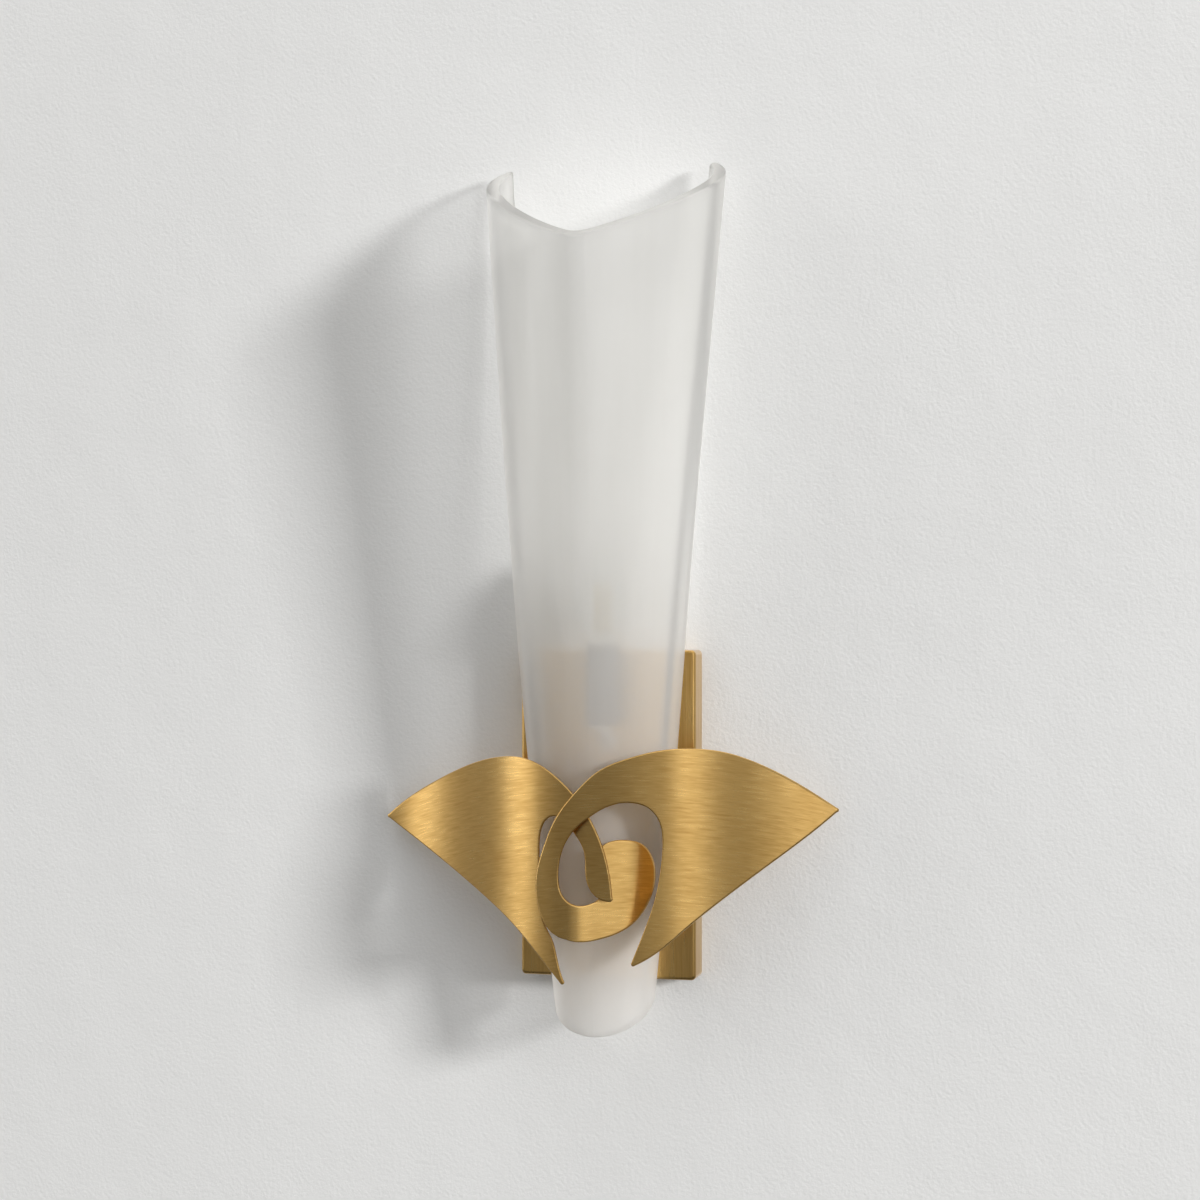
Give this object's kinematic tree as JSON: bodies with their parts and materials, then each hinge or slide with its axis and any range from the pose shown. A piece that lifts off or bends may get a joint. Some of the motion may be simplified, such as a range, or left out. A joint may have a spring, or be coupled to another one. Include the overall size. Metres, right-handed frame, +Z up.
{
  "type": "wall sconce",
  "caption": "Wall sconce: a flared frosted glass trough open at top and foot, held off a brass backplate, with bent brass fins that cross in a scroll over its front.",
  "frame": {"origin": "middle of the junction box screw pattern, in the plane of the wall", "axes": "+Z up, +X to the right seen from the front, -Y out from the wall towards the room"},
  "size_m": [0.3015, 0.1075, 0.5547],
  "materials": {
    "zinc_steel": "zinc plated",
    "brushed_brass": "fine brushed, lacquered",
    "frosted_glass": "acid etched, polished rims",
    "soft_gasket": "translucent grey",
    "nylon": "natural white",
    "black_phenolic": "moulded black",
    "porcelain": "white",
    "shell_brass": "plain pressed",
    "bulb_cap_metal": "pressed",
    "black_glass": "dark",
    "clear_glass": "clear",
    "filament_coat": "matt yellow",
    "block_plastic": "off white",
    "line_insulation": "black",
    "neutral_insulation": "white",
    "ground_copper": "bare copper",
    "ground_green": "green dyed"
  },
  "bodies": {
    "fixture": {"backplate": "brushed_brass", "bracket_studs": "zinc_steel", "cap_nut_washers": "brushed_brass", "cap_nuts": "brushed_brass", "clamp_washers": "brushed_brass", "fin_post_screws": "zinc_steel", "fin_post_washers": "zinc_steel", "glass_bushes": "nylon", "glass_post_screws": "zinc_steel", "glass_post_washers": "zinc_steel", "glass_screws": "brushed_brass", "glass_shade": "frosted_glass", "ground_lead": "ground_copper", "ground_screw": "ground_green", "holder_body": "porcelain", "holder_bracket": "zinc_steel", "holder_bracket_screw": "zinc_steel", "holder_bracket_washer": "zinc_steel", "holder_contact": "shell_brass", "holder_nipple": "zinc_steel", "holder_shell": "shell_brass", "holder_sleeve": "black_phenolic", "horn_fin": "brushed_brass", "inner_gaskets": "soft_gasket", "lead_grommet": "soft_gasket", "left_fin_post": "brushed_brass", "line_lead": "line_insulation", "link_spacer": "brushed_brass", "lower_glass_post": "brushed_brass", "neutral_lead": "neutral_insulation", "nipple_nut": "zinc_steel", "outer_gaskets": "soft_gasket", "right_fin_post": "brushed_brass", "scroll_fin": "brushed_brass", "stud_lock_nuts": "zinc_steel", "terminal_block": "block_plastic", "terminal_screws": "zinc_steel", "upper_glass_post": "brushed_brass", "wall_bracket": "zinc_steel"},
    "bulb": {"bulb_contact": "shell_brass", "bulb_insulator": "black_glass", "bulb_cap": "bulb_cap_metal", "bulb_envelope": "clear_glass", "bulb_stem": "clear_glass", "bulb_filaments": "filament_coat"}
  },
  "joints": [
    {"name": "bulb_lift", "type": "slide", "parent": "fixture", "child": "bulb", "axis": [0, 0, 1], "range_m": [0, 0.35]}
  ]
}
